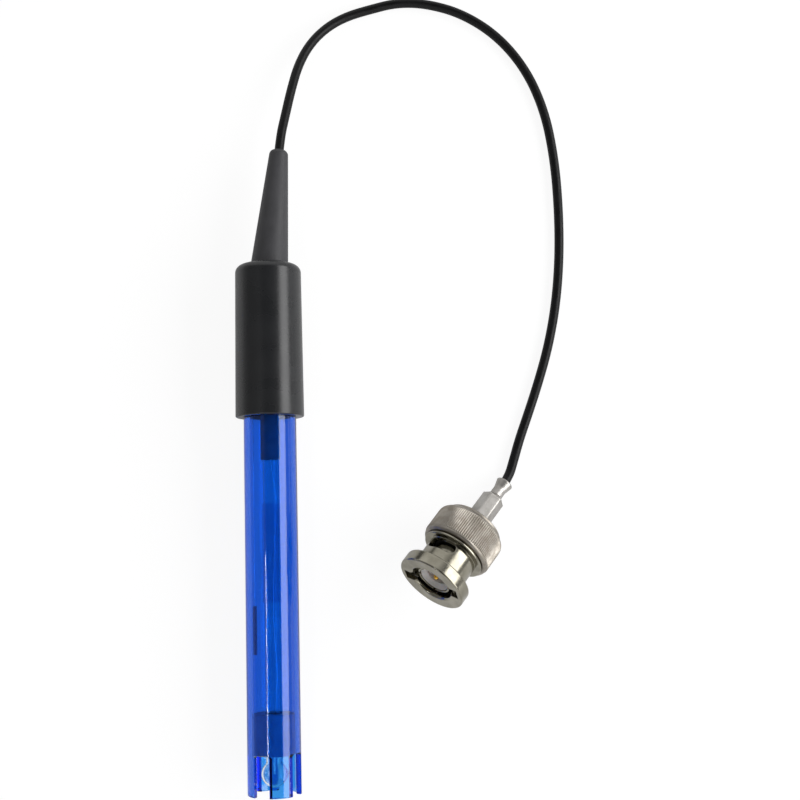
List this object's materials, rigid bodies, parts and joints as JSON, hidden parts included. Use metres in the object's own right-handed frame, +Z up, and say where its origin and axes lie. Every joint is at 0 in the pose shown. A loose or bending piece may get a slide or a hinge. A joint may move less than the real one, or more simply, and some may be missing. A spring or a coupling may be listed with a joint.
{
  "type": "ph electrode",
  "caption": "Combination pH electrode with a slotted guard round its bulb, a moulded cap, a strain relief and a short lead to a bayonet plug.",
  "frame": {"origin": "middle of the lying electrode's footprint on the table, without the lead and its plug", "axes": "+Y along the electrode from the guard tip to the strain relief, +Z up, +X towards the plug"},
  "size_m": [0.0779, 0.1879, 0.0213],
  "materials": {
    "blue_polycarbonate": "clear blue moulded polycarbonate, glossy",
    "black_moulding": "black injection-moulded plastic, glossy",
    "soft_pvc": "dark grey moulded soft PVC, matt",
    "blown_glass": "clear blown glass",
    "silver_wire": "drawn silver wire",
    "chlorided_silver": "dark silver-chloride coat on silver wire",
    "sleeve_film": "thin dark blue tubing",
    "black_rubber": "moulded black rubber",
    "grey_silicone": "cast grey silicone",
    "porous_ceramic": "porous white ceramic",
    "potting_resin": "cast dark resin",
    "cable_core": "white cable insulation",
    "tinned_braid": "twisted tinned copper",
    "cable_jacket": "extruded black jacket, satin",
    "bright_nickel": "turned brass, bright nickel plate",
    "satin_nickel": "knurled brass, satin nickel plate",
    "spring_steel": "stamped spring steel",
    "gasket_silicone": "moulded dark grey silicone",
    "white_ptfe": "turned white PTFE",
    "gold_plate": "turned brass, gold plate"
  },
  "bodies": {
    "electrode": {"body_tube": "blue_polycarbonate", "cap": "black_moulding", "strain_relief": "soft_pvc", "glass_electrode": "blown_glass", "measuring_wire": "silver_wire", "reference_wire": "chlorided_silver", "stem_sleeve": "sleeve_film", "stem_stopper": "black_rubber", "end_seal": "grey_silicone", "porous_junction": "porous_ceramic", "potting": "potting_resin", "coax_core": "cable_core", "braid_pigtail": "tinned_braid", "lead_cable": "cable_jacket", "wave_washer": "spring_steel", "plug_body": "bright_nickel", "outer_contact": "bright_nickel", "gasket": "gasket_silicone", "insulator": "white_ptfe", "centre_pin": "gold_plate", "crimp_ferrule": "satin_nickel", "cable_braid": "tinned_braid"},
    "nut_carrier": {"thrust_washer": "bright_nickel"},
    "coupling_nut": {"bayonet_sleeve": "bright_nickel", "knurled_nut": "satin_nickel"}
  },
  "joints": [
    {"name": "nut_press", "type": "slide", "parent": "electrode", "child": "nut_carrier", "axis": [-0.5735, -0.7235, 0.3843], "range_m": [0, 0.0006], "stiffness_N_per_m": 800, "springref_m": -0.0005, "deforming": ["wave_washer"]},
    {"name": "nut_turn", "type": "hinge", "parent": "nut_carrier", "child": "coupling_nut", "pos_m": [0.04121, -0.0216, 0.01028], "axis": [-0.5735, -0.7235, 0.3843], "continuous": true}
  ]
}
